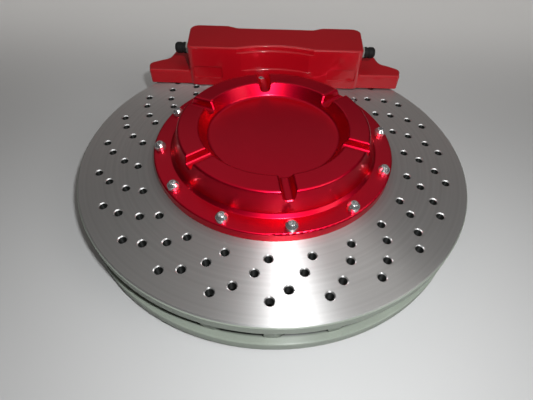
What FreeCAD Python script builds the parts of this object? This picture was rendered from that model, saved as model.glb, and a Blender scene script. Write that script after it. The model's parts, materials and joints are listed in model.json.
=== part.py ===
"""Desk-sized working brake: a ventilated cross-drilled disc that turns on a low stand, with its caliper.

Millimetres, +Z up. The origin is on the disc's axis, in the plane that the stand's feet rest on.
The disc, its dished hat and the hub turn about +Z. The caliper sits over the disc's edge on +Y.
"""

import FreeCAD, Part
import math
import os

V = FreeCAD.Vector
UP = V(0, 0, 1)

# ---- driving dimensions: the disc ----
FACE_RADIUS = 150.0  # edge of the rubbed face
RIM_BEVEL = 1.4
RIM_RADIUS = FACE_RADIUS + RIM_BEVEL
DISC_BOTTOM = 5.0
DISC_THICKNESS = 33.0
DISC_TOP = DISC_BOTTOM + DISC_THICKNESS
UPPER_PLATE = 8.6
LOWER_PLATE = 8.4
RING_BORE = 81.0  # inner radius of the upper plate
LOWER_BORE = 97.0  # inner radius of the lower plate
GAP_LOW = DISC_BOTTOM + LOWER_PLATE
GAP_HIGH = DISC_TOP - UPPER_PLATE
VANE_COUNT = 24
VANE_WALL = 3.2
VANE_STEP = 360.0 / VANE_COUNT
VANE_TIP = RIM_RADIUS - 1.6
VANE_LEAN = 3.0  # the vanes' outer ends lean in towards the lower plate
# a vane's centre line, from its inner end to the rim: radius and angle
VANE_LINE = ((99.0, 10.8), (124.0, 0.4), (149.0, -15.0))
HOLE_RADIUS = 2.75
HOLE_CHAMFER = 0.6
# one group of drillings, repeated between each pair of vanes: radius and angle
HOLE_GROUP = ((107.2, 0.0), (117.8, -4.0), (128.4, -9.3), (135.7, -14.3))
REST_CLOCK = -0.8  # how far the disc is turned at rest, degrees

# ---- driving dimensions: the hat ----
FLANGE_RADIUS = 94.0
FLANGE_THICKNESS = 7.5
RIM_HEIGHT = 25.5  # top of the hat above the disc's rubbed face
DISH_DEPTH = 10.5
HAT_FLOOR = 4.0
RIM_OUTER = 73.5
RIM_INNER = 57.8
DISH_FLOOR_RADIUS = 51.8
BELL_FOOT = 78.6
SCREW_COUNT = 12
SCREW_CIRCLE = 88.6  # radius
SCREW_CLOCK = 9.15  # degrees past the vanes
SCREW_SHANK = 2.5
SCREW_HOLE = 2.65
SCREW_HEAD = 4.3
SCREW_HEAD_HEIGHT = 5.4
SCREW_SOCKET = 3.0  # across flats
WASHER_RADIUS = 5.0
WASHER_THICKNESS = 0.9
NUT_FLATS = 8.0
NUT_HEIGHT = 3.6
NUT_COLLAR = 1.4
NUT_TOP = GAP_HIGH - WASHER_THICKNESS
REST_COUNT = 6
REST_HALF_TOP = 4.9
REST_HALF_BOTTOM = 3.3
REST_DEPTH = 6.6
REST_ROUNDING = 2.6  # where the floor turns up into the sides, made of short flats
REST_SHOULDER = 2.0  # rounding of the groove's upper edges
REST_FLATS = 4
REST_BEVEL = 0.6
FOOT_BEVEL = 2.4  # where the bell meets the flange
SPIGOT_RADIUS = RING_BORE - 0.1
SPIGOT_DEPTH = 3.5
FLANGE_TOP = DISC_TOP + FLANGE_THICKNESS
HAT_TOP = DISC_TOP + RIM_HEIGHT
DISH_FLOOR = HAT_TOP - DISH_DEPTH
HAT_UNDERSIDE = DISH_FLOOR - HAT_FLOOR

# ---- driving dimensions: the hub and the stand ----
PLATE_LOW = 1.5
PLATE_HIGH = 3.5
STAND_RADIUS = 104.0
WINDOW_HALF = 38.0  # the base plate's two windows
WINDOW_NEAR = 29.0
WINDOW_FAR = 66.0
WINDOW_CORNER = 6.0
FOOT_RADIUS = 9.0
FOOT_PLACES = (
    (0.0, 0.0), (66.0, -56.0), (-66.0, -56.0), (90.0, 32.0), (-90.0, 32.0), (70.0, 160.0), (-70.0, 160.0))
TAIL_HALF = 102.0
TAIL_REACH = 171.0
TAIL_CORNER = 14.0
SPINDLE_RADIUS = 10.0
SPINDLE_FLANGE = 24.0
SPINDLE_SHOULDER = 7.5  # top of the flange
SHAFT_TOP = 48.0
SPINDLE_SCREW_CIRCLE = 17.0
SPINDLE_SCREW_COUNT = 4
SPINDLE_SCREW_RADIUS = 2.0
SPINDLE_SCREW_HEAD = 3.9
GROOVE_LOW = 45.6
GROOVE_HIGH = 46.8
GROOVE_DEPTH = 0.9
HUB_WALL_RADIUS = 16.0
BUSH_RADIUS = 12.5
BUSH_COLLAR = 14.5
BUSH_FLANGE = 1.5
BUSH_LENGTH = 14.0
BUSH_LOW = 8.6
HUB_LOW = BUSH_LOW + BUSH_FLANGE
RUNNING_GAP = 0.05
HUB_FLANGE = 29.0
HUB_FLANGE_THICKNESS = 6.0
HUB_FACE = 43.0
HUB_BOLT_CIRCLE = 23.0
HUB_BOLT_COUNT = 6
HUB_BOLT_RADIUS = 2.0
HUB_BOLT_HEAD = 3.5
HUB_BOLT_GRIP = 4.5  # how far the bolts reach into the hat

# ---- driving dimensions: the caliper ----
CALIPER_BOTTOM = DISC_TOP + 1.2
CALIPER_TOP = DISC_TOP + 39.0
BODY_FRONT = 91.5
BODY_REAR = 139.0
BODY_HALF_FRONT = 81.0
BODY_HALF_REAR = 84.5
REAR_RECESS = 4.6
# three coaxial steps that follow the hat round: radius and the height each reaches
SCALLOPS = ((95.6, 55.2), (96.8, 72.2), (98.2, CALIPER_TOP + 1))
STEP_ROUNDING = 0.6
FACE_POCKET = (50.0, 77.0, 46.7, 58.2)  # inner and outer x, low and high z
FACE_POCKET_DEPTH = 1.3
LUG_TOP = DISC_TOP + 14.3
LUG_FRONT = 93.7
LUG_HALF = 120.5
LUG_ROUNDING = 2.0
LUG_JOINT_ROUNDING = 2.5
JOINT_FACE = 154.0  # where the bridge bolts on
SHOULDER_HALF = 72.0
SHOULDER_TOP = 62.5
BRIDGE_REAR = 168.0
BRIDGE_HALF = 62.0
BRIDGE_WINDOW = (10.0, 38.0, 12.0, 36.0)  # inner and outer x, low and high z
BRIDGE_BOLT_HEIGHT = 55.5
BRIDGE_BOLTS = (-50.0, -20.0, 20.0, 50.0)
BRIDGE_BOLT_RADIUS = 3.0
BRIDGE_BOLT_HEAD = 5.0
BRIDGE_BOLT_SEAT = 161.4
BRIDGE_BOLT_END = 137.0
BRIDGE_SCREWS = (-50.0, 50.0)
BRIDGE_SCREW_Y = 161.0
STAND_SCREW_HEAD = 4.8
STAND_SCREW_RADIUS = 3.0
BRIDGE_SCREW_TOP = 26.0
POST_SCREW_TOP = 48.0
POST_X = 88.0
POST_Y = 141.0
POST_RADIUS = 8.0
PISTON_X = (-46.2, -15.6, 15.6, 46.2)
PISTON_Y = 117.5
PISTON_RADIUS = 13.0
PISTON_TOP = 63.0
BORE_TOP = 70.0
SEAL_LOW = 56.0
SEAL_HIGH = 58.6
SEAL_DEPTH = 2.2
POCKET_TOP = 51.4
PAD_TRAVEL = 1.6
PISTON_GAP = 0.1  # between each piston and the backing plate
PAD_GAP = PAD_TRAVEL + 0.2
FRICTION_THICKNESS = 5.8
BACKING_THICKNESS = 3.8
PAD_FRONT = 97.5
PAD_HALF = 60.0
PAD_ARC = 145.5
POCKET_CLEARANCE = 1.6  # between the pad and its pocket
GALLERY_RADIUS = 2.0
INLET_Z = 68.0
INLET_RADIUS = 3.5
PLUG_WASHER = 0.8
BLEED_Y = 111.5
BLEED_Z = 66.5
BLEED_RADIUS = 4.0
BLEED_SEAT = 66.0  # x where the bleed screw's tip closes the gallery
# along the bleed screw from the block's end: its hexagon, the nipple, and the dust cap's length
BLEED_HEX_LOW = 0.8
BLEED_HEX_HIGH = 3.0
BLEED_NIPPLE = 8.0
CAP_LENGTH = 10.4


# ---- small shape helpers ----
def cylinder(radius, low, high, x=0.0, y=0.0):
    return Part.makeCylinder(radius, high - low, V(x, y, low))


def tube(outer, inner, low, high, x=0.0, y=0.0):
    return cylinder(outer, low, high, x, y).cut(cylinder(inner, low - 1, high + 1, x, y))


def rod(radius, start, direction, length):
    return Part.makeCylinder(radius, length, start, direction)


def turned(shape, degrees):
    copy = shape.copy()
    copy.rotate(V(0, 0, 0), UP, degrees)
    return copy


def ring_of(shape, count, first=0.0):
    """Copies of a shape, evenly spaced about the disc's axis."""
    return [turned(shape, first + 360.0 * index / count) for index in range(count)]


def polar(radius, degrees, height=0.0):
    angle = math.radians(degrees)
    return V(radius * math.cos(angle), radius * math.sin(angle), height)


def outline(corners, place):
    """A closed wire through corners (u, v, radius), each rounded by its radius.

    place maps a point (u, v) of the outline to space.
    """
    pieces = []
    count = len(corners)
    for index, (u, v, radius) in enumerate(corners):
        here = V(u, v, 0)
        before = V(corners[index - 1][0], corners[index - 1][1], 0)
        after = V(corners[(index + 1) % count][0], corners[(index + 1) % count][1], 0)
        back = (before - here).normalize()
        ahead = (after - here).normalize()
        half = back.getAngle(ahead) / 2
        reach = radius / math.tan(half)
        depth = radius / math.sin(half) - radius
        bisector = back + ahead
        middle = here + bisector.normalize() * depth if radius else here
        pieces.append((here + back * reach, middle, here + ahead * reach, radius))
    edges = []
    for index, (start, middle, end, radius) in enumerate(pieces):
        if radius:
            edges.append(Part.Arc(place(start), place(middle), place(end)).toShape())
        following = pieces[(index + 1) % count][0]
        if end.distanceToPoint(following) > 1e-6:
            edges.append(Part.LineSegment(place(end), place(following)).toShape())
    return Part.Wire(edges)


def plan_solid(corners, low, high):
    """A plan outline in X and Y, raised from low to high."""
    wire = outline(corners, lambda point: V(point.x, point.y, low))
    return Part.Face(wire).extrude(V(0, 0, high - low))


def front_solid(corners, front, depth):
    """An outline in X and Z, pushed along +Y from front."""
    wire = outline(corners, lambda point: V(point.x, front, point.y))
    return Part.Face(wire).extrude(V(0, depth, 0))


def turned_solid(corners):
    """An outline in radius and height, turned about the disc's axis."""
    wire = outline(corners, lambda point: V(point.x, 0, point.y))
    return Part.Face(wire).revolve(V(0, 0, 0), UP, 360)


def mirrored_corners(right_side):
    """A plan outline symmetric about X = 0, from its right half listed front to rear."""
    left_side = [(-x, y, radius) for x, y, radius in reversed(right_side)]
    return right_side + left_side


def hexagon(flats, low, high, x=0.0, y=0.0):
    points = [polar(flats / math.sqrt(3), 60.0 * index) for index in range(6)]
    return plan_solid([(x + point.x, y + point.y, 0) for point in points], low, high)


def tilt(shape, axis, degrees, move):
    """A shape modelled upright at the origin, turned onto its own axis and moved to its place."""
    copy = shape.copy()
    copy.rotate(V(0, 0, 0), axis, degrees)
    copy.translate(move)
    return copy


def round_edges(shape, radius, wanted):
    edges = [edge for edge in shape.Edges if wanted(edge)]
    return shape.makeFillet(radius, edges)


def lies_at(height):
    """Picks the edges that lie flat at a height."""
    def test(edge):
        box = edge.BoundBox
        return abs(box.ZMin - height) < 1e-4 and abs(box.ZMax - height) < 1e-4
    return test


def fuse_all(shapes):
    return shapes[0].multiFuse(shapes[1:]).removeSplitter()


# ---- the turning body ----
def make_rotor_ring():
    """Upper and lower plates, joined by swept vanes, with the drillings through both plates."""
    upper = turned_solid([
        (RING_BORE, GAP_HIGH, 0), (RIM_RADIUS, GAP_HIGH, 0.8), (RIM_RADIUS, DISC_TOP - RIM_BEVEL, 0),
        (FACE_RADIUS, DISC_TOP, 0), (RING_BORE, DISC_TOP, 0)])
    lower = turned_solid([
        (LOWER_BORE, DISC_BOTTOM, 0), (FACE_RADIUS, DISC_BOTTOM, 0), (RIM_RADIUS, DISC_BOTTOM + RIM_BEVEL, 0),
        (RIM_RADIUS, GAP_LOW, 1.2), (LOWER_BORE, GAP_LOW, 0)])
    envelope = Part.makeCone(
        VANE_TIP - VANE_LEAN, VANE_TIP, GAP_HIGH - GAP_LOW + 2, V(0, 0, GAP_LOW - 1))
    vane = make_vane().common(envelope)
    ring = fuse_all([upper, lower] + ring_of(vane, VANE_COUNT))
    sink = Part.makeCone(
        HOLE_RADIUS, HOLE_RADIUS + 2 * HOLE_CHAMFER, 2 * HOLE_CHAMFER, V(0, 0, DISC_TOP - HOLE_CHAMFER))
    drill = cylinder(HOLE_RADIUS, DISC_BOTTOM - 1, DISC_TOP + 1).fuse(sink)
    drills = []
    for group in range(VANE_COUNT):
        for radius, angle in HOLE_GROUP:
            copy = drill.copy()
            copy.translate(polar(radius, angle + group * VANE_STEP))
            drills.append(copy)
    bolt_hole = cylinder(SCREW_HOLE, GAP_HIGH - 1, DISC_TOP + 1, SCREW_CIRCLE)
    drills += ring_of(bolt_hole, SCREW_COUNT, SCREW_CLOCK)
    return ring.cut(drills)


def make_vane():
    """One swept vane: a strip between two arcs, either side of its centre line."""
    points = [polar(radius, angle) for radius, angle in VANE_LINE]
    along = [points[1] - points[0], points[2] - points[0], points[2] - points[1]]
    sides = []
    for side in (-0.5, 0.5):
        offsets = []
        for point, way in zip(points, along):
            across = V(-way.y, way.x, 0).normalize()
            offsets.append(point + across * side * VANE_WALL)
        sides.append(offsets)
    left, right = sides
    # the arcs run a little into both plates, so that the fused ring has no seam
    lift = V(0, 0, GAP_LOW - 0.5)
    edges = [
        Part.Arc(*[point + lift for point in left]).toShape(),
        Part.LineSegment(left[2] + lift, right[2] + lift).toShape(),
        Part.Arc(*[point + lift for point in reversed(right)]).toShape(),
        Part.LineSegment(right[0] + lift, left[0] + lift).toShape()]
    return Part.Face(Part.Wire(edges)).extrude(V(0, 0, GAP_HIGH - GAP_LOW + 1.0))


def make_hat():
    """The dished hat: flange, tapered bell, flat rim with six rests, shallow dish, and a boss for the hub."""
    hat = turned_solid([
        (0, HAT_UNDERSIDE, 0), (0, DISH_FLOOR, 0), (DISH_FLOOR_RADIUS, DISH_FLOOR, 3.0),
        (RIM_INNER, HAT_TOP, 1.6), (RIM_OUTER, HAT_TOP, 2.2), (BELL_FOOT, FLANGE_TOP + FOOT_BEVEL, 1.0),
        (BELL_FOOT + FOOT_BEVEL, FLANGE_TOP, 0.8), (FLANGE_RADIUS, FLANGE_TOP, 1.2),
        (FLANGE_RADIUS, DISC_TOP, 0.5), (SPIGOT_RADIUS, DISC_TOP, 0),
        (SPIGOT_RADIUS, DISC_TOP - SPIGOT_DEPTH, 0), (SPIGOT_RADIUS - 4.9, DISC_TOP - SPIGOT_DEPTH, 0),
        (SPIGOT_RADIUS - 7.4, HAT_UNDERSIDE, 3.0)])
    boss = tube(HUB_FLANGE + 0.5, HUB_WALL_RADIUS + 1, HUB_FACE, HAT_UNDERSIDE)
    hat = hat.fuse(boss).removeSplitter()
    for shape in make_rest():
        hat = hat.cut(ring_of(shape, REST_COUNT, SCREW_CLOCK + 30.0))
    cuts = ring_of(cylinder(SCREW_HOLE, DISC_TOP - 1, FLANGE_TOP + 1, SCREW_CIRCLE), SCREW_COUNT, SCREW_CLOCK)
    tapped = cylinder(HUB_BOLT_RADIUS, HUB_FACE - 1, HUB_FACE + HUB_BOLT_GRIP + 0.5, HUB_BOLT_CIRCLE)
    cuts += ring_of(tapped, HUB_BOLT_COUNT)
    return hat.cut(cuts)


def rest_corners():
    """The outline of a rest's groove in X and Z, with a rounded floor and rounded upper edges."""
    lean = math.atan2(REST_HALF_TOP - REST_HALF_BOTTOM, REST_DEPTH)
    turn = math.pi / 2 - lean
    floor_x = REST_HALF_BOTTOM - REST_ROUNDING * math.tan(turn / 2)
    floor_z = HAT_TOP - REST_DEPTH + REST_ROUNDING
    shoulder_x = REST_HALF_TOP + REST_SHOULDER * math.tan(turn / 2)
    shoulder_z = HAT_TOP - REST_SHOULDER
    right_side = []
    for step in range(REST_FLATS + 1):
        angle = turn * step / REST_FLATS - math.pi / 2
        right_side.append((
            floor_x + REST_ROUNDING * math.cos(angle), floor_z + REST_ROUNDING * math.sin(angle), 0))
    for step in range(REST_FLATS + 1):
        angle = math.pi - lean - turn * step / REST_FLATS
        right_side.append((
            shoulder_x + REST_SHOULDER * math.cos(angle), shoulder_z + REST_SHOULDER * math.sin(angle), 0))
    right_side.append((shoulder_x, HAT_TOP + 2, 0))
    return mirrored_corners(right_side)


def widened(corners, grow):
    """An outline listed anticlockwise, with every side moved outwards by grow."""
    moved = []
    for index, (u, v, radius) in enumerate(corners):
        before = corners[index - 1]
        after = corners[(index + 1) % len(corners)]
        first = V(v - before[1], before[0] - u, 0).normalize()
        second = V(after[1] - v, u - after[0], 0).normalize()
        corner = (first + second) * (grow / (1 + first.dot(second)))
        moved.append((u + corner.x, v + corner.y, radius))
    return moved


def make_rest_mouth(top_radius, spread, outward):
    """The widening of a rest's groove through one sloping wall, which bevels its mouth all round."""
    wires = []
    for side in (-1, 1):
        def place(point):
            wall = top_radius + (HAT_TOP - point.y) * spread
            return V(point.x, wall + side * outward * REST_BEVEL, point.y)
        wires.append(outline(widened(rest_corners(), (1 + side) * REST_BEVEL), place))
    return Part.makeLoft(wires, True, True)


def make_rest():
    """The tapered groove cut through the rim at each rest, lying along +X, with both its mouths bevelled."""
    groove = front_solid(rest_corners(), 45.0, 45.0)
    bell_spread = (BELL_FOOT - RIM_OUTER) / (HAT_TOP - FLANGE_TOP - FOOT_BEVEL)
    dish_spread = (DISH_FLOOR_RADIUS - RIM_INNER) / DISH_DEPTH
    mouths = [make_rest_mouth(RIM_OUTER, bell_spread, 1), make_rest_mouth(RIM_INNER, dish_spread, -1)]
    return [turned(shape, -90.0) for shape in [groove] + mouths]


def domed_screw(shank, length, head_radius, head_height, socket_flats):
    """A domed socket screw standing on its head's underside at the origin, shank downwards."""
    head = turned_solid([
        (0, 0, 0), (head_radius, 0, 0.3), (head_radius, head_height * 0.56, 1.1),
        (head_radius * 0.56, head_height, 0.9), (0, head_height, 0)])
    socket = hexagon(socket_flats, head_height * 0.5, head_height + 1)
    return head.cut(socket).fuse(cylinder(shank, -length, 0.2)).removeSplitter()


def make_hat_screws():
    reach = FLANGE_TOP - (NUT_TOP - NUT_HEIGHT - NUT_COLLAR - 0.8)
    screw = domed_screw(SCREW_SHANK, reach, SCREW_HEAD, SCREW_HEAD_HEIGHT, SCREW_SOCKET)
    screw.translate(V(SCREW_CIRCLE, 0, FLANGE_TOP))
    return ring_of(screw, SCREW_COUNT, SCREW_CLOCK)


def make_nut_washers():
    washer = tube(WASHER_RADIUS, SCREW_HOLE, NUT_TOP, GAP_HIGH, SCREW_CIRCLE)
    return ring_of(washer, SCREW_COUNT, SCREW_CLOCK)


def make_lock_nuts():
    """Hexagon nuts with a rounded collar, under the ring's inner ledge."""
    face = NUT_TOP - NUT_HEIGHT
    collar = cylinder(NUT_FLATS / 2 - 0.4, face - NUT_COLLAR, face + 0.1, SCREW_CIRCLE)
    nut = hexagon(NUT_FLATS, face, NUT_TOP, SCREW_CIRCLE).fuse(collar)
    nut = nut.cut(cylinder(SCREW_SHANK, face - 3, NUT_TOP + 1, SCREW_CIRCLE)).removeSplitter()
    return ring_of(nut, SCREW_COUNT, SCREW_CLOCK)


def make_hub():
    """Steel hub: a flange bolted under the hat, and a tube that holds the bushes."""
    flange_low = HUB_FACE - HUB_FLANGE_THICKNESS
    flange = cylinder(HUB_FLANGE, flange_low, HUB_FACE)
    wall = cylinder(HUB_WALL_RADIUS, HUB_LOW, flange_low + 1)
    web = turned_solid([
        (HUB_WALL_RADIUS - 1, flange_low + 0.5, 0), (HUB_WALL_RADIUS - 1, flange_low - 4.0, 0),
        (HUB_WALL_RADIUS, flange_low - 4.0, 0), (HUB_WALL_RADIUS + 3.0, flange_low, 0),
        (HUB_WALL_RADIUS + 3.0, flange_low + 0.5, 0)])
    hub = fuse_all([flange, wall, web])
    cuts = [cylinder(BUSH_RADIUS, HUB_LOW - 1, HUB_FACE + 1)]
    bolt_hole = cylinder(HUB_BOLT_RADIUS + 0.2, flange_low - 1, HUB_FACE + 1, HUB_BOLT_CIRCLE)
    cuts += ring_of(bolt_hole, HUB_BOLT_COUNT)
    return hub.cut(cuts)


def make_hub_bolts():
    """Socket-head bolts that hold the hub to the hat from below."""
    head_top = HUB_FACE - HUB_FLANGE_THICKNESS
    head = cylinder(HUB_BOLT_HEAD, head_top - 4.0, head_top)
    head = head.cut(hexagon(3.0, head_top - 5.0, head_top - 1.8))
    shank = cylinder(HUB_BOLT_RADIUS, head_top - 0.2, HUB_FACE + HUB_BOLT_GRIP)
    bolt = head.fuse(shank).removeSplitter()
    bolt.translate(V(HUB_BOLT_CIRCLE, 0, 0))
    return ring_of(bolt, HUB_BOLT_COUNT)


def make_bushes():
    """Two flanged bronze bushes, pressed into the hub from each end."""
    bore = SPINDLE_RADIUS + RUNNING_GAP
    lower = tube(BUSH_RADIUS, bore, HUB_LOW, HUB_LOW + BUSH_LENGTH)
    lower = lower.fuse(tube(BUSH_COLLAR, bore, BUSH_LOW, HUB_LOW))
    upper = tube(BUSH_RADIUS, bore, HUB_FACE - BUSH_LENGTH, HUB_FACE)
    upper = upper.fuse(tube(BUSH_COLLAR, bore, HUB_FACE, HUB_FACE + BUSH_FLANGE))
    return [lower.removeSplitter(), upper.removeSplitter()]


# ---- the stand ----
def countersunk(head_radius, shank, low, high, x, y):
    """A flat-head screw driven up through the stand, its head flush with the plate's underside."""
    depth = head_radius - shank
    head = Part.makeCone(head_radius, shank, depth, V(x, y, low))
    screw = head.fuse(cylinder(shank, low + depth - 0.1, high, x, y))
    return screw.cut(hexagon(shank, low - 1, low + depth * 0.8, x, y)).removeSplitter()


def countersink(head_radius, shank, x, y):
    """The hole that such a screw fills."""
    depth = head_radius - shank
    cone = Part.makeCone(head_radius, shank, depth, V(x, y, PLATE_LOW))
    return cone.fuse(cylinder(shank, PLATE_LOW - 1, PLATE_HIGH + 1, x, y))


def spindle_screw_places():
    step = 360.0 / SPINDLE_SCREW_COUNT
    return [polar(SPINDLE_SCREW_CIRCLE, step * (index + 0.5)) for index in range(SPINDLE_SCREW_COUNT)]


def make_base_plate():
    """A round plate under the disc with two windows, and a tail that carries the caliper."""
    disc = cylinder(STAND_RADIUS, PLATE_LOW, PLATE_HIGH)
    tail = plan_solid(mirrored_corners([
        (TAIL_HALF, 0, 0), (TAIL_HALF, TAIL_REACH, TAIL_CORNER)]), PLATE_LOW, PLATE_HIGH)
    plate = disc.fuse(tail).removeSplitter()
    cuts = []
    for near, far in ((WINDOW_NEAR, WINDOW_FAR), (-WINDOW_FAR, -WINDOW_NEAR)):
        cuts.append(plan_solid(mirrored_corners([
            (WINDOW_HALF, near, WINDOW_CORNER), (WINDOW_HALF, far, WINDOW_CORNER)]),
            PLATE_LOW - 1, PLATE_HIGH + 1))
    for place in spindle_screw_places():
        cuts.append(countersink(SPINDLE_SCREW_HEAD, SPINDLE_SCREW_RADIUS, place.x, place.y))
    cuts += [countersink(STAND_SCREW_HEAD, STAND_SCREW_RADIUS, side * POST_X, POST_Y) for side in (-1, 1)]
    cuts += [countersink(STAND_SCREW_HEAD, STAND_SCREW_RADIUS, x, BRIDGE_SCREW_Y) for x in BRIDGE_SCREWS]
    return plate.cut(cuts)


def make_feet():
    feet = []
    for x, y in FOOT_PLACES:
        foot = cylinder(FOOT_RADIUS, 0, PLATE_LOW, x, y)
        feet.append(round_edges(foot, 0.5, lies_at(0.0)))
    return feet


def make_spindle():
    """The fixed shaft, with its flange on the base plate and a groove for the retaining ring."""
    flange = cylinder(SPINDLE_FLANGE, PLATE_HIGH, SPINDLE_SHOULDER)
    flange = round_edges(flange, 0.8, lies_at(SPINDLE_SHOULDER))
    shaft = cylinder(SPINDLE_RADIUS, SPINDLE_SHOULDER - 0.5, SHAFT_TOP)
    groove = tube(SPINDLE_RADIUS + 2, SPINDLE_RADIUS - GROOVE_DEPTH, GROOVE_LOW, GROOVE_HIGH)
    spindle = flange.fuse(shaft).removeSplitter().cut(groove)
    tapped = []
    for place in spindle_screw_places():
        tapped.append(cylinder(SPINDLE_SCREW_RADIUS, PLATE_HIGH - 1, SPINDLE_SHOULDER + 1, place.x, place.y))
    return spindle.cut(tapped)


def make_spindle_screws():
    top = SPINDLE_SHOULDER - 0.2
    screws = []
    for place in spindle_screw_places():
        screws.append(countersunk(
            SPINDLE_SCREW_HEAD, SPINDLE_SCREW_RADIUS, PLATE_LOW, top, place.x, place.y))
    return screws


def make_thrust_washers():
    """Slippery washers that carry the hub's flanged bushes, below and above."""
    lower = tube(BUSH_COLLAR, SPINDLE_RADIUS, SPINDLE_SHOULDER, BUSH_LOW - 0.1)
    upper = tube(BUSH_COLLAR - 0.5, SPINDLE_RADIUS, GROOVE_LOW - 0.9, GROOVE_LOW)
    return [lower, upper]


def make_retaining_ring():
    """A spring ring with a gap and two ears, snapped into the spindle's groove."""
    ear_x = 4.2
    ear_y = 12.6
    ring = tube(SPINDLE_RADIUS + 2.2, SPINDLE_RADIUS - GROOVE_DEPTH, GROOVE_LOW, GROOVE_HIGH)
    ring = ring.cut(Part.makeBox(5.0, 20.0, 3.0, V(-2.5, 0, GROOVE_LOW - 0.6)))
    ears = []
    for side in (-1, 1):
        eye = cylinder(0.8, GROOVE_LOW - 1, GROOVE_HIGH + 1, side * ear_x, ear_y)
        ears.append(cylinder(2.0, GROOVE_LOW, GROOVE_HIGH, side * ear_x, ear_y).cut(eye))
    return ring.fuse(ears).removeSplitter()


def pad_outline(grow=0.0):
    """A pad's plan: straight towards the hub, curved along the disc's rim."""
    front = PAD_FRONT - grow
    half = PAD_HALF + grow
    arc = PAD_ARC + grow
    side_top = math.sqrt(arc * arc - half * half)
    edges = [
        Part.LineSegment(V(-half, front, 0), V(half, front, 0)).toShape(),
        Part.LineSegment(V(half, front, 0), V(half, side_top, 0)).toShape(),
        Part.Arc(V(half, side_top, 0), V(0, arc, 0), V(-half, side_top, 0)).toShape(),
        Part.LineSegment(V(-half, side_top, 0), V(-half, front, 0)).toShape()]
    return Part.Face(Part.Wire(edges))


def pad_solid(low, high, grow=0.0):
    face = pad_outline(grow)
    face.translate(V(0, 0, low))
    return face.extrude(V(0, 0, high - low))


def make_reaction_facing():
    """A thin lining on the stand, under the disc, that takes the pad's thrust."""
    slot = Part.makeBox(1.6, 80.0, 3.0, V(-0.8, 80.0, PLATE_HIGH - 0.5))
    return pad_solid(PLATE_HIGH, DISC_BOTTOM - 0.3, -2.0).cut(slot)


def make_posts():
    """Two plain spacers between the base plate and the caliper's lugs."""
    posts = []
    for side in (-1, 1):
        post = tube(POST_RADIUS, STAND_SCREW_RADIUS + 0.3, PLATE_HIGH, CALIPER_BOTTOM, side * POST_X, POST_Y)
        groove = tube(POST_RADIUS + 1, POST_RADIUS - 0.8, 20.0, 22.0, side * POST_X, POST_Y)
        posts.append(post.cut(groove))
    return posts


def make_post_screws():
    head = STAND_SCREW_HEAD
    shank = STAND_SCREW_RADIUS
    return [countersunk(head, shank, PLATE_LOW, POST_SCREW_TOP, side * POST_X, POST_Y) for side in (-1, 1)]


def make_bridge_screws():
    head = STAND_SCREW_HEAD
    shank = STAND_SCREW_RADIUS
    return [countersunk(head, shank, PLATE_LOW, BRIDGE_SCREW_TOP, x, BRIDGE_SCREW_Y) for x in BRIDGE_SCREWS]


# ---- the caliper ----
def make_caliper_block():
    """The raised block, stepped back round the hat, with softened step edges and top."""
    block = plan_solid(mirrored_corners([
        (BODY_HALF_FRONT, BODY_FRONT, 5.0), (BODY_HALF_REAR, BODY_REAR, 9.0),
        (47.0, BODY_REAR, 6.0), (37.0, BODY_REAR - REAR_RECESS, 6.0)]), CALIPER_BOTTOM, CALIPER_TOP)
    low = CALIPER_BOTTOM - 1
    for radius, height in SCALLOPS:
        block = block.cut(cylinder(radius, low, height))
        low = height
    block = block.removeSplitter()
    for radius, height in SCALLOPS[:2]:
        block = round_edges(block, STEP_ROUNDING, is_arc(radius, height))
    return round_edges(block, 1.5, lies_at(CALIPER_TOP))


def is_arc(radius, height):
    """Picks the arcs of a radius that lie flat at a height."""
    flat = lies_at(height)

    def test(edge):
        return flat(edge) and hasattr(edge.Curve, "Radius") and abs(edge.Curve.Radius - radius) < 1e-3
    return test


def joins_block_to_lug(edge):
    """Picks the inside corner where a lug's top meets the block's end."""
    box = edge.BoundBox
    middle = abs(box.XMin + box.XMax) / 2
    at_end = BODY_HALF_FRONT < middle < BODY_HALF_REAR
    return lies_at(LUG_TOP)(edge) and at_end and box.YLength > 5.0


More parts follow.
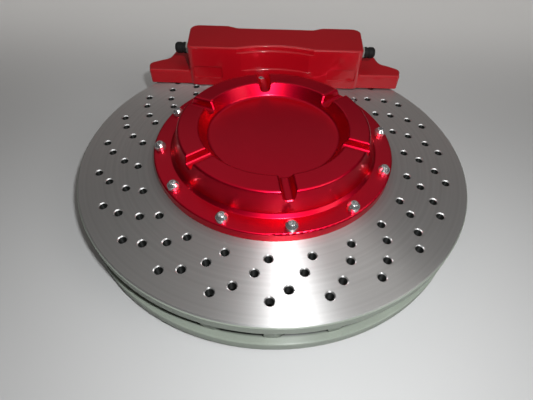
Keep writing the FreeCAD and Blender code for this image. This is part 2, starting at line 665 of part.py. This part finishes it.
def make_caliper_body():
    """Outboard half: a block with four bores open towards the disc, a pad pocket, and a lug at each end."""
    lugs = plan_solid(mirrored_corners([
        (LUG_HALF, LUG_FRONT, 2.5), (LUG_HALF + 3.5, 107.5, 6.0), (LUG_HALF - 6.5, 114.0, 6.0),
        (105.5, 118.5, 9.0), (98.5, JOINT_FACE, 9.0)]), CALIPER_BOTTOM, LUG_TOP)
    lugs = round_edges(lugs, LUG_ROUNDING, lies_at(LUG_TOP))
    body = make_caliper_block().fuse(lugs).removeSplitter()
    body = body.cut(cylinder(SCALLOPS[0][0], CALIPER_BOTTOM - 1, SCALLOPS[0][1]))
    body = round_edges(body, LUG_JOINT_ROUNDING, joins_block_to_lug)
    shoulder = plan_solid(mirrored_corners([
        (SHOULDER_HALF, 125.0, 0), (SHOULDER_HALF, JOINT_FACE, 7.0)]), CALIPER_BOTTOM, SHOULDER_TOP)
    shoulder = round_edges(shoulder, 2.5, lies_at(SHOULDER_TOP))
    body = body.fuse(shoulder).removeSplitter()
    cuts = [pad_solid(CALIPER_BOTTOM - 1, POCKET_TOP, POCKET_CLEARANCE)]
    inner, outer, low, high = FACE_POCKET
    for side in (-1, 1):
        cuts.append(front_solid([
            (side * inner, low, 2.0), (side * outer, low, 2.0), (side * outer, high, 2.0),
            (side * inner, high, 2.0)], BODY_FRONT - 3.0, 3.0 + FACE_POCKET_DEPTH))
    for x in PISTON_X:
        cuts.append(cylinder(PISTON_RADIUS + 0.06, POCKET_TOP - 1, BORE_TOP, x, PISTON_Y))
        cuts.append(cylinder(PISTON_RADIUS + SEAL_DEPTH, SEAL_LOW, SEAL_HIGH, x, PISTON_Y))
    reach = BODY_HALF_REAR + 5
    cuts.append(rod(GALLERY_RADIUS, V(-reach, BLEED_Y, BLEED_Z), V(1, 0, 0), 2 * reach))
    for side in (-1, 1):
        start = V(side * BLEED_SEAT, BLEED_Y, BLEED_Z)
        cuts.append(rod(BLEED_RADIUS + 0.05, start, V(side, 0, 0), 40.0))
        cuts.append(cylinder(STAND_SCREW_RADIUS, CALIPER_BOTTOM - 1, POST_SCREW_TOP, side * POST_X, POST_Y))
    cuts.append(rod(GALLERY_RADIUS, V(0, BLEED_Y, INLET_Z), V(0, 1, 0), 40.0))
    cuts.append(rod(INLET_RADIUS, V(0, BODY_REAR - 15.0, INLET_Z), V(0, 1, 0), 25.0))
    for x in BRIDGE_BOLTS:
        start = V(x, BRIDGE_BOLT_END, BRIDGE_BOLT_HEIGHT)
        cuts.append(rod(BRIDGE_BOLT_RADIUS, start, V(0, 1, 0), 30.0))
    for cut in cuts:
        body = body.cut(cut)
    return body


def make_caliper_bridge():
    """The block behind the disc's rim that ties the caliper to the base plate, with two windows."""
    bridge = plan_solid(mirrored_corners([
        (BRIDGE_HALF, JOINT_FACE, 3.0), (BRIDGE_HALF, BRIDGE_REAR, 6.0)]), PLATE_HIGH, SHOULDER_TOP)
    bridge = round_edges(bridge, 1.4, lies_at(SHOULDER_TOP))
    inner, outer, low, high = BRIDGE_WINDOW
    cuts = []
    for side in (-1, 1):
        cuts.append(front_solid([
            (side * inner, low, 4.0), (side * outer, low, 4.0), (side * outer, high, 4.0),
            (side * inner, high, 4.0)], JOINT_FACE - 2, 20.0))
    for x in BRIDGE_BOLTS:
        cuts.append(rod(BRIDGE_BOLT_RADIUS, V(x, JOINT_FACE - 1, BRIDGE_BOLT_HEIGHT), V(0, 1, 0), 20.0))
        seat = V(x, BRIDGE_BOLT_SEAT, BRIDGE_BOLT_HEIGHT)
        cuts.append(rod(BRIDGE_BOLT_HEAD + 0.4, seat, V(0, 1, 0), 20.0))
    for x in BRIDGE_SCREWS:
        cuts.append(cylinder(STAND_SCREW_RADIUS, PLATE_HIGH - 1, BRIDGE_SCREW_TOP, x, BRIDGE_SCREW_Y))
    return bridge.cut(cuts)


def make_bridge_bolts():
    """Socket-head bolts, sunk into the bridge's rear face and threaded into the body."""
    height = BRIDGE_BOLT_HEAD + 1.0
    head = round_edges(cylinder(BRIDGE_BOLT_HEAD, 0, height), 0.5, lies_at(height))
    head = head.cut(hexagon(5.0, height / 2, height + 1))
    shank = cylinder(BRIDGE_BOLT_RADIUS, BRIDGE_BOLT_END - BRIDGE_BOLT_SEAT, 0.5)
    bolt = head.fuse(shank).removeSplitter()
    return [tilt(bolt, V(1, 0, 0), -90, V(x, BRIDGE_BOLT_SEAT, BRIDGE_BOLT_HEIGHT)) for x in BRIDGE_BOLTS]


def make_piston(x):
    """A cup-shaped piston, open towards the pad."""
    low = DISC_TOP + PAD_GAP + FRICTION_THICKNESS + BACKING_THICKNESS + PISTON_GAP
    piston = cylinder(PISTON_RADIUS, low, PISTON_TOP, x, PISTON_Y)
    piston = round_edges(piston, 0.8, lies_at(PISTON_TOP))
    return piston.cut(cylinder(PISTON_RADIUS - 3.2, low - 1, PISTON_TOP - 4.0, x, PISTON_Y))


def make_piston_seals():
    outer = PISTON_RADIUS + SEAL_DEPTH
    return [tube(outer, PISTON_RADIUS + 0.04, SEAL_LOW, SEAL_HIGH, x, PISTON_Y) for x in PISTON_X]


def make_pad_friction():
    """The lining, with a slot across its middle and bevelled ends."""
    low = DISC_TOP + PAD_GAP
    lining = pad_solid(low, low + FRICTION_THICKNESS, -1.5)
    slot = Part.makeBox(2.0, 80.0, FRICTION_THICKNESS, V(-1.0, 80.0, low - 1.5))
    bevels = []
    for side in (-1, 1):
        edge = PAD_HALF - 1.5
        wedge = front_solid([
            (side * (edge - 9.0), low - 0.01, 0), (side * (edge + 1.0), low - 0.01, 0),
            (side * (edge + 1.0), low + 2.6, 0)], 80.0, 80.0)
        bevels.append(wedge)
    return lining.cut([slot] + bevels)


def make_pad_backing():
    low = DISC_TOP + PAD_GAP + FRICTION_THICKNESS
    return pad_solid(low, low + BACKING_THICKNESS)


def make_abutments():
    """Thin stainless strips at both ends of the pocket, for the pad to slide on."""
    strips = []
    for side in (-1, 1):
        near = side * (PAD_HALF + 0.8)
        far = side * (PAD_HALF + 1.6)
        strip = Part.makeBox(0.8, 30.0, 10.5, V(min(near, far), 99.0, CALIPER_BOTTOM + 0.8))
        strips.append(strip)
    return strips


def make_inlet_plug():
    """Hexagon plug that closes the fluid inlet in the middle of the rear face."""
    head = hexagon(9.0, 0, 4.0)
    plug = head.fuse(cylinder(INLET_RADIUS, -8.0, 0.2)).removeSplitter()
    return tilt(plug, V(1, 0, 0), -90, V(0, BODY_REAR - REAR_RECESS + PLUG_WASHER, INLET_Z))


def make_plug_washer():
    washer = tube(INLET_RADIUS + 1.3, INLET_RADIUS, 0, PLUG_WASHER)
    return tilt(washer, V(1, 0, 0), -90, V(0, BODY_REAR - REAR_RECESS, INLET_Z))


def end_face(y):
    """How far the block's end stands out at a given Y."""
    part = (y - BODY_FRONT) / (BODY_REAR - BODY_FRONT)
    return BODY_HALF_FRONT + part * (BODY_HALF_REAR - BODY_HALF_FRONT)


def make_bleed_screw(side):
    """Bleed screw: coned tip, threaded stem, hexagon and nipple, with a drilled passage."""
    face = end_face(BLEED_Y)
    tip = BLEED_SEAT + 1.0
    point = Part.makeCone(1.5, BLEED_RADIUS, 2.5, V(0, 0, tip))
    stem = point.fuse(cylinder(BLEED_RADIUS, tip + 2.4, face + BLEED_HEX_LOW + 0.2))
    collar = hexagon(9.0, face + BLEED_HEX_LOW, face + BLEED_HEX_HIGH)
    end = face + BLEED_NIPPLE
    nipple = cylinder(2.6, face + BLEED_HEX_HIGH - 0.2, end).fuse(Part.makeCone(3.1, 2.2, 2.2, V(0, 0, end)))
    screw = fuse_all([stem, collar, nipple]).cut(cylinder(1.0, tip + 4.0, end + 5.0))
    return tilt(screw, V(0, 1, 0), side * 90, V(0, BLEED_Y, BLEED_Z))


def make_dust_cap(side):
    """Rubber cap over the nipple, with two grip ribs and a domed end."""
    face = end_face(BLEED_Y)
    low = face + BLEED_HEX_HIGH + 0.1
    high = low + CAP_LENGTH
    cap = turned_solid([
        (0, low, 0), (5.2, low, 0.5), (5.2, low + 2.2, 0.3), (4.7, low + 2.6, 0.3), (4.7, low + 4.2, 0.3),
        (5.1, low + 4.6, 0.3), (5.1, high - 2.0, 1.2), (3.4, high, 1.6), (0, high, 0)])
    cavity = cylinder(3.1, low - 1, face + BLEED_NIPPLE + 2.6)
    return tilt(cap.cut(cavity), V(0, 1, 0), side * 90, V(0, BLEED_Y, BLEED_Z))


# ---- every sub-part, and which of them turn with the disc ----
TURNING = {
    "rotor_ring": make_rotor_ring,
    "hat": make_hat,
    "hat_screws": make_hat_screws,
    "nut_washers": make_nut_washers,
    "lock_nuts": make_lock_nuts,
    "hub": make_hub,
    "hub_bolts": make_hub_bolts,
    "hub_bushes": make_bushes,
}
FIXED = {
    "base_plate": make_base_plate,
    "feet": make_feet,
    "spindle": make_spindle,
    "spindle_screws": make_spindle_screws,
    "thrust_washers": make_thrust_washers,
    "retaining_ring": make_retaining_ring,
    "reaction_facing": make_reaction_facing,
    "lug_posts": make_posts,
    "post_screws": make_post_screws,
    "caliper_body": make_caliper_body,
    "caliper_bridge": make_caliper_bridge,
    "bridge_bolts": make_bridge_bolts,
    "bridge_screws": make_bridge_screws,
    "piston_seals": make_piston_seals,
    "pad_abutments": make_abutments,
    "inlet_plug": make_inlet_plug,
    "plug_washer": make_plug_washer,
    "pad_lining": make_pad_friction,
    "pad_backing": make_pad_backing,
}
SIDES = {"left": -1, "right": 1}


def save(name, made):
    """Writes one node, a solid or a group of separate solids."""
    solids = made if isinstance(made, list) else [made]
    shape = Part.makeCompound(solids) if len(solids) > 1 else solids[0]
    if not shape.isValid():
        print("not valid:", name)
    print(name, len(shape.Solids), "solids, volume", round(shape.Volume))
    shape.exportStep(os.path.join("parts", name + ".step"))


def main():
    os.makedirs("parts", exist_ok=True)
    for name, make in TURNING.items():
        made = make()
        solids = made if isinstance(made, list) else [made]
        save(name, [turned(solid, REST_CLOCK) for solid in solids])
    for name, make in FIXED.items():
        save(name, make())
    for number, x in enumerate(PISTON_X, start=1):
        save("piston_" + str(number), make_piston(x))
    for name, side in SIDES.items():
        save("bleed_screw_" + name, make_bleed_screw(side))
        save("dust_cap_" + name, make_dust_cap(side))


main()
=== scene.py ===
import json
import math

import bpy
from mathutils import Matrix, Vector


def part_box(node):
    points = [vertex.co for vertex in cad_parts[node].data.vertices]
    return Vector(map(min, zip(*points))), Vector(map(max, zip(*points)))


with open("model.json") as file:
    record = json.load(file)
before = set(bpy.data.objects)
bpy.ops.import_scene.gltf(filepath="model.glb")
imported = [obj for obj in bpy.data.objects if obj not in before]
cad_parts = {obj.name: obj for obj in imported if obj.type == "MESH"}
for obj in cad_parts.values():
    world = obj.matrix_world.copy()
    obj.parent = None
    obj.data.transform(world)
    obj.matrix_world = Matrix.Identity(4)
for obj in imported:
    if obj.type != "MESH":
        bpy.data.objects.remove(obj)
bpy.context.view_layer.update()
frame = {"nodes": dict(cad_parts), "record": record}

# ---- places taken from the frame, in metres ----
RING_LOW, RING_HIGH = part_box("rotor_ring")
DISC_BOTTOM = RING_LOW.z
DISC_TOP = RING_HIGH.z
RIM_RADIUS = (RING_HIGH.x - RING_LOW.x) / 2

# ---- where one finish gives way to another, and where painted shade fills the vents, in metres ----
BARE_ABOVE = DISC_TOP - 0.0008
BARE_BELOW = DISC_BOTTOM + 0.0004
BARE_FADE = 0.0001  # to each side of those two heights
# painted shade: the rim paint darkens to near-black inward from the rim, standing in for the vents' shadow
# under the upper plate
VENT_FULL_SHADE_RADIUS = RIM_RADIUS - 0.0065
VENT_UNSHADED_RADIUS = RIM_RADIUS - 0.0040
HAT_EDGE_ROUNDING = 0.0005
ENAMEL_EDGE_ROUNDING = 0.0008

# ---- colours, linear: the darkest and the lightest where there are two ----
TURNED_METAL = ((0.48, 0.475, 0.47), (0.70, 0.695, 0.69))
RIM_PAINT = ((0.23, 0.258, 0.218), (0.31, 0.345, 0.293))
# painted shade: the colour given to the vents' shadowed insides
VENT_PAINTED_SHADE = (0.012, 0.013, 0.012)
ANODISED_RED = ((0.70, 0.0012, 0.024), (0.84, 0.0025, 0.036))
ENAMEL_RED = ((0.40, 0.0008, 0.006), (0.48, 0.0015, 0.010))
POWDER_BLACK = ((0.012, 0.012, 0.013), (0.032, 0.032, 0.034))
FRICTION_GREY = ((0.035, 0.032, 0.03), (0.11, 0.10, 0.09))
METAL_FLECK = (0.42, 0.33, 0.2)
PTFE_WHITE = ((0.72, 0.71, 0.67), (0.84, 0.83, 0.80))
TABLE_WHITE = (0.57, 0.57, 0.57)
ROOM_WHITE = (0.95, 0.92, 0.90, 1.0)

# The Mix node's two inputs and its output, for colours and for plain numbers.
MIX_SOCKETS = {"RGBA": (6, 7, 2), "FLOAT": (2, 3, 0)}


# ---- a short way to build node materials ----
class Graph:
    """A material with one Principled shader, and helpers that add nodes and return their output sockets."""

    def __init__(self, name, metallic=0.0):
        self.material = bpy.data.materials.new(name)
        self.material.use_nodes = True
        self.tree = self.material.node_tree
        self.tree.nodes.clear()
        output = self.tree.nodes.new("ShaderNodeOutputMaterial")
        self.shader = self.tree.nodes.new("ShaderNodeBsdfPrincipled")
        self.tree.links.new(self.shader.outputs["BSDF"], output.inputs["Surface"])
        self.set("Metallic", metallic)
        self.coords = self.add("ShaderNodeTexCoord").outputs["Object"]
        self.axes = self.add("ShaderNodeSeparateXYZ", Vector=self.coords).outputs

    def add(self, kind, settings=None, **inputs):
        """A new node. An input's name is written with underscores for its spaces."""
        node = self.tree.nodes.new(kind)
        for key, value in (settings or {}).items():
            setattr(node, key, value)
        for key, value in inputs.items():
            self.feed(node.inputs[key.replace("_", " ")], value)
        return node

    def feed(self, socket, value):
        """Links an output socket to this one, or stores a number or a colour in it."""
        if isinstance(value, bpy.types.NodeSocket):
            self.tree.links.new(value, socket)
        elif socket.type == "RGBA" and len(value) == 3:
            socket.default_value = (*value, 1.0)
        else:
            socket.default_value = value

    def set(self, name, value):
        """Feeds one of the shader's own inputs."""
        self.feed(self.shader.inputs[name], value)

    def math(self, operation, first, second=0.0, clamp=False):
        node = self.add("ShaderNodeMath", {"operation": operation, "use_clamp": clamp})
        self.feed(node.inputs[0], first)
        self.feed(node.inputs[1], second)
        return node.outputs[0]

    def radius(self):
        """Distance from the disc's axis."""
        x_squared = self.math("MULTIPLY", self.axes["X"], self.axes["X"])
        y_squared = self.math("MULTIPLY", self.axes["Y"], self.axes["Y"])
        return self.math("SQRT", self.math("ADD", x_squared, y_squared))

    def noise(self, scale, detail=3.0):
        node = self.add("ShaderNodeTexNoise", Vector=self.coords, Scale=scale, Detail=detail, Roughness=0.55)
        return node.outputs["Fac"]

    def line_noise(self, value, scale, detail):
        """Noise along one value: stripes, rings or layers."""
        node = self.add("ShaderNodeTexNoise", {"noise_dimensions": "1D"}, W=value, Scale=scale, Detail=detail)
        return node.outputs["Fac"]

    def step(self, value, start, end):
        """0 at start and 1 at end, smooth between them. The start may be the larger of the two."""
        smooth = {"interpolation_type": "SMOOTHSTEP"}
        node = self.add("ShaderNodeMapRange", smooth, Value=value, From_Min=start, From_Max=end)
        return node.outputs["Result"]

    def between(self, value, low, high):
        """Spreads a 0 to 1 value over a range."""
        node = self.add("ShaderNodeMapRange", {"clamp": False}, Value=value, To_Min=low, To_Max=high)
        return node.outputs["Result"]

    def mix(self, factor, first, second, kind="RGBA"):
        first_socket, second_socket, result = MIX_SOCKETS[kind]
        node = self.add("ShaderNodeMix", {"data_type": kind}, Factor=factor)
        self.feed(node.inputs[first_socket], first)
        self.feed(node.inputs[second_socket], second)
        return node.outputs[result]

    def rounded_edges(self, radius):
        """A normal that is softened over every edge."""
        return self.add("ShaderNodeBevel", Radius=radius).outputs["Normal"]

    def set_relief(self, height, strength, distance, normal=None):
        """Gives the shader a fine relief, on top of the normal if there is one."""
        node = self.add("ShaderNodeBump", Height=height, Strength=strength, Distance=distance)
        if normal:
            self.feed(node.inputs["Normal"], normal)
        self.set("Normal", node.outputs["Normal"])


# ---- materials ----
def disc_material():
    """Cast disc: the rubbed face is turned bare metal, the rim is grey-green paint, and painted shade darkens
    the vents.
    """
    graph = Graph("disc_metal")
    graph.set("Anisotropic", 0.9)
    graph.set("Anisotropic Rotation", 0.25)
    radius = graph.radius()
    height = graph.axes["Z"]
    above = graph.step(height, BARE_ABOVE - BARE_FADE, BARE_ABOVE + BARE_FADE)
    below = graph.step(height, BARE_BELOW + BARE_FADE, BARE_BELOW - BARE_FADE)
    bare = graph.math("MAXIMUM", above, below)
    coarse = graph.line_noise(radius, 420.0, 5.0)
    fine = graph.line_noise(radius, 5200.0, 3.0)
    cloud = graph.noise(22.0, 4.0)
    shade = graph.math("ADD", graph.between(coarse, -0.35, 0.35), graph.between(cloud, -0.12, 0.12))
    metal = graph.mix(graph.math("ADD", shade, 0.5, True), *TURNED_METAL)
    speck = graph.noise(900.0, 2.0)
    paint = graph.mix(graph.between(speck, 0.2, 0.8), *RIM_PAINT)
    # painted shade: the paint fades to near-black going into the vents, where the upper plate's shadow falls
    depth = graph.step(radius, VENT_FULL_SHADE_RADIUS, VENT_UNSHADED_RADIUS)
    paint_with_vent_shade = graph.mix(depth, VENT_PAINTED_SHADE, paint)
    graph.set("Base Color", graph.mix(bare, paint_with_vent_shade, metal))
    graph.set("Metallic", graph.math("MULTIPLY", bare, 0.9))
    roughness = graph.math("ADD", graph.between(coarse, 0.54, 0.62), graph.between(cloud, -0.02, 0.02))
    graph.set("Roughness", graph.mix(bare, 0.42, roughness, "FLOAT"))
    turning = graph.math("ADD", coarse, graph.math("MULTIPLY", fine, 0.6))
    grooves = graph.math("MULTIPLY", turning, bare)
    texture = graph.math("MULTIPLY", speck, graph.math("SUBTRACT", 1.0, bare))
    graph.set_relief(graph.math("ADD", grooves, texture), 0.08, 0.00003)
    tangent = graph.add("ShaderNodeTangent", {"direction_type": "RADIAL", "axis": "Z"})
    graph.set("Tangent", tangent.outputs["Tangent"])
    return graph.material


def hat_material():
    """Satin crimson anodised aluminium: tinted metal under a clear skin, with faint turning marks."""
    graph = Graph("red_anodised", metallic=1.0)
    graph.set("Coat Weight", 0.25)
    graph.set("Coat Roughness", 0.2)
    rings = graph.line_noise(graph.radius(), 1500.0, 4.0)
    cloud = graph.noise(35.0, 4.0)
    grain = graph.noise(2600.0, 2.0)
    depth = graph.math("ADD", graph.between(rings, 0.0, 0.5), graph.between(cloud, 0.0, 0.5))
    graph.set("Base Color", graph.mix(depth, *ANODISED_RED))
    roughness = graph.math("ADD", graph.between(cloud, 0.32, 0.40), graph.between(rings, -0.02, 0.02))
    graph.set("Roughness", roughness)
    marks = graph.math("ADD", graph.math("MULTIPLY", rings, 0.7), grain)
    graph.set_relief(marks, 0.06, 0.00002, graph.rounded_edges(HAT_EDGE_ROUNDING))
    return graph.material


def red_paint_material():
    """Gloss red enamel with a little orange peel, softened over every edge."""
    graph = Graph("red_enamel")
    graph.set("Coat Weight", 1.0)
    graph.set("Coat Roughness", 0.05)
    graph.set("Specular IOR Level", 0.3)
    peel = graph.noise(420.0, 2.0)
    cloud = graph.noise(18.0, 3.0)
    graph.set("Base Color", graph.mix(cloud, *ENAMEL_RED))
    graph.set("Roughness", graph.between(cloud, 0.36, 0.46))
    graph.set_relief(peel, 0.08, 0.00006, graph.rounded_edges(ENAMEL_EDGE_ROUNDING))
    return graph.material


def steel_material(name, color, roughness):
    """Plain metal with fine grain and slight tarnish."""
    graph = Graph(name, metallic=0.9)
    cloud = graph.noise(160.0, 4.0)
    grain = graph.noise(1400.0, 3.0)
    darker = tuple(channel * 0.72 for channel in color)
    graph.set("Base Color", graph.mix(cloud, darker, color))
    tarnish = graph.between(cloud, roughness * 0.8, roughness * 1.2)
    graph.set("Roughness", graph.math("ADD", tarnish, graph.between(grain, -0.03, 0.03)))
    graph.set_relief(grain, 0.12, 0.00002)
    return graph.material


def rubber_material(name, color):
    """Matte rubber, faintly mottled and dusty."""
    graph = Graph(name)
    graph.set("Specular IOR Level", 0.25)
    mottle = graph.noise(500.0, 4.0)
    dust = graph.noise(60.0, 3.0)
    lighter = tuple(channel + 0.008 for channel in color)
    graph.set("Base Color", graph.mix(dust, color, lighter))
    graph.set("Roughness", graph.between(mottle, 0.55, 0.8))
    graph.set_relief(mottle, 0.2, 0.00008)
    return graph.material


def plate_material():
    """Black powder coat with its fine orange-peel texture."""
    graph = Graph("black_powder_coat")
    peel = graph.noise(700.0, 3.0)
    graph.set("Base Color", graph.mix(peel, *POWDER_BLACK))
    graph.set("Roughness", graph.between(peel, 0.38, 0.55))
    graph.set_relief(peel, 0.35, 0.00012)
    return graph.material


def lining_material():
    """Pressed friction compound, flecked with metal and fibre."""
    graph = Graph("friction_lining")
    graph.set("Roughness", 0.9)
    flecks = graph.add("ShaderNodeTexVoronoi", Vector=graph.coords, Scale=900.0).outputs["Distance"]
    bright = graph.step(flecks, 0.22, 0.16)
    crumbs = graph.noise(1200.0, 4.0)
    graph.set("Base Color", graph.mix(bright, graph.mix(crumbs, *FRICTION_GREY), METAL_FLECK))
    graph.set_relief(crumbs, 0.5, 0.0001)
    return graph.material


def plastic_material():
    """Natural PTFE, slightly cloudy."""
    graph = Graph("natural_ptfe")
    cloud = graph.noise(120.0, 3.0)
    graph.set("Base Color", graph.mix(cloud, *PTFE_WHITE))
    graph.set("Roughness", graph.between(cloud, 0.4, 0.55))
    return graph.material


def table_material():
    """Matt white card, very slightly uneven."""
    graph = Graph("table_white")
    graph.set("Roughness", 0.5)
    darker = tuple(channel * 0.96 for channel in TABLE_WHITE)
    graph.set("Base Color", graph.mix(graph.noise(3.0, 3.0), darker, TABLE_WHITE))
    return graph.material


MATERIALS = {
    "cast_disc": disc_material(),
    "red_anodised": hat_material(),
    "bright_steel": steel_material("bright_steel", (0.80, 0.80, 0.81), 0.17),
    "zinc_steel": steel_material("zinc_steel", (0.58, 0.58, 0.55), 0.35),
    "machined_steel": steel_material("machined_steel", (0.52, 0.52, 0.53), 0.28),
    "black_steel": steel_material("black_oxide_steel", (0.045, 0.045, 0.05), 0.38),
    "bronze": steel_material("bronze", (0.55, 0.34, 0.15), 0.4),
    "black_plate": plate_material(),
    "black_rubber": rubber_material("black_rubber", (0.012, 0.012, 0.012)),
    "white_plastic": plastic_material(),
    "spring_steel": steel_material("spring_steel", (0.45, 0.45, 0.46), 0.3),
    "friction_lining": lining_material(),
    "red_paint": red_paint_material(),
    "copper": steel_material("copper", (0.62, 0.27, 0.15), 0.35),
    "piston_alloy": steel_material("piston_alloy", (0.62, 0.60, 0.54), 0.32),
    "cap_rubber": rubber_material("cap_rubber", (0.005, 0.005, 0.005)),
}
for part in frame["record"]["subparts"]:
    for slot in frame["nodes"][part["node"]].material_slots:
        slot.material = MATERIALS[part["material_slot"]]


# ---- table ----
TABLE_REACH = 3.0  # from the middle to each side
table_mesh = bpy.data.meshes.new("table")
corners = [(x * TABLE_REACH, y * TABLE_REACH, 0) for x, y in ((-1, -1), (1, -1), (1, 1), (-1, 1))]
table_mesh.from_pydata(corners, [], [(0, 1, 2, 3)])
table_mesh.materials.append(table_material())
panel = bpy.data.objects.new("table", table_mesh)
bpy.context.scene.collection.objects.link(panel)


# ---- lights ----
DISC_MIDDLE = (0, 0, 0.03)


def area_light(name, place, target, size, watts, color, spread=180.0):
    """A rectangular lamp that shines from its place to the target, spreading by so many degrees."""
    light = bpy.data.lights.new(name, "AREA")
    light.shape = "RECTANGLE"
    light.size, light.size_y = size
    light.energy = watts
    light.color = color
    light.spread = math.radians(spread)
    lamp = bpy.data.objects.new(name, light)
    bpy.context.scene.collection.objects.link(lamp)
    lamp.location = place
    direction = Vector(target) - Vector(place)
    lamp.rotation_euler = direction.to_track_quat("-Z", "Y").to_euler()


area_light("flash", place=(0.056, -0.255, 0.31), target=DISC_MIDDLE,
           size=(0.020, 0.012), watts=1.25, color=(0.97, 0.99, 1.0))
area_light("ceiling", place=(0, 0.6, 1.5), target=(0, 0.6, 0),
           size=(2.4, 2.8), watts=6.6, color=(1.0, 0.95, 0.90))
area_light("back_fill", place=(0, 0.52, 0.8), target=(0, 0.50, 0),
           size=(1.8, 0.5), watts=1.5, color=(1.0, 0.98, 0.95), spread=34.0)
area_light("side_fill", place=(0.85, -0.45, 0.75), target=DISC_MIDDLE,
           size=(0.5, 0.5), watts=2.2, color=(1.0, 0.99, 0.97))

world = bpy.data.worlds.new("room")
bpy.context.scene.world = world
world.use_nodes = True
room = world.node_tree.nodes["Background"].inputs
room["Color"].default_value = ROOM_WHITE
room["Strength"].default_value = 0.03

# ---- camera ----
SENSOR_WIDTH = 36.0
LENS_LENGTH = 24.66
CAMERA_PLACE = (-0.00324, -0.2319, 0.23225)
CAMERA_TURNS = (41.875, -1.021, 1.332)  # degrees about X, Y and Z

camera_data = bpy.data.cameras.new("camera")
camera_data.sensor_width = SENSOR_WIDTH
camera_data.lens = LENS_LENGTH
camera_data.clip_start = 0.01
camera = bpy.data.objects.new("camera", camera_data)
bpy.context.scene.collection.objects.link(camera)
camera.location = CAMERA_PLACE
camera.rotation_euler = [math.radians(angle) for angle in CAMERA_TURNS]
bpy.context.scene.camera = camera
bpy.context.scene.view_settings.view_transform = "Standard"
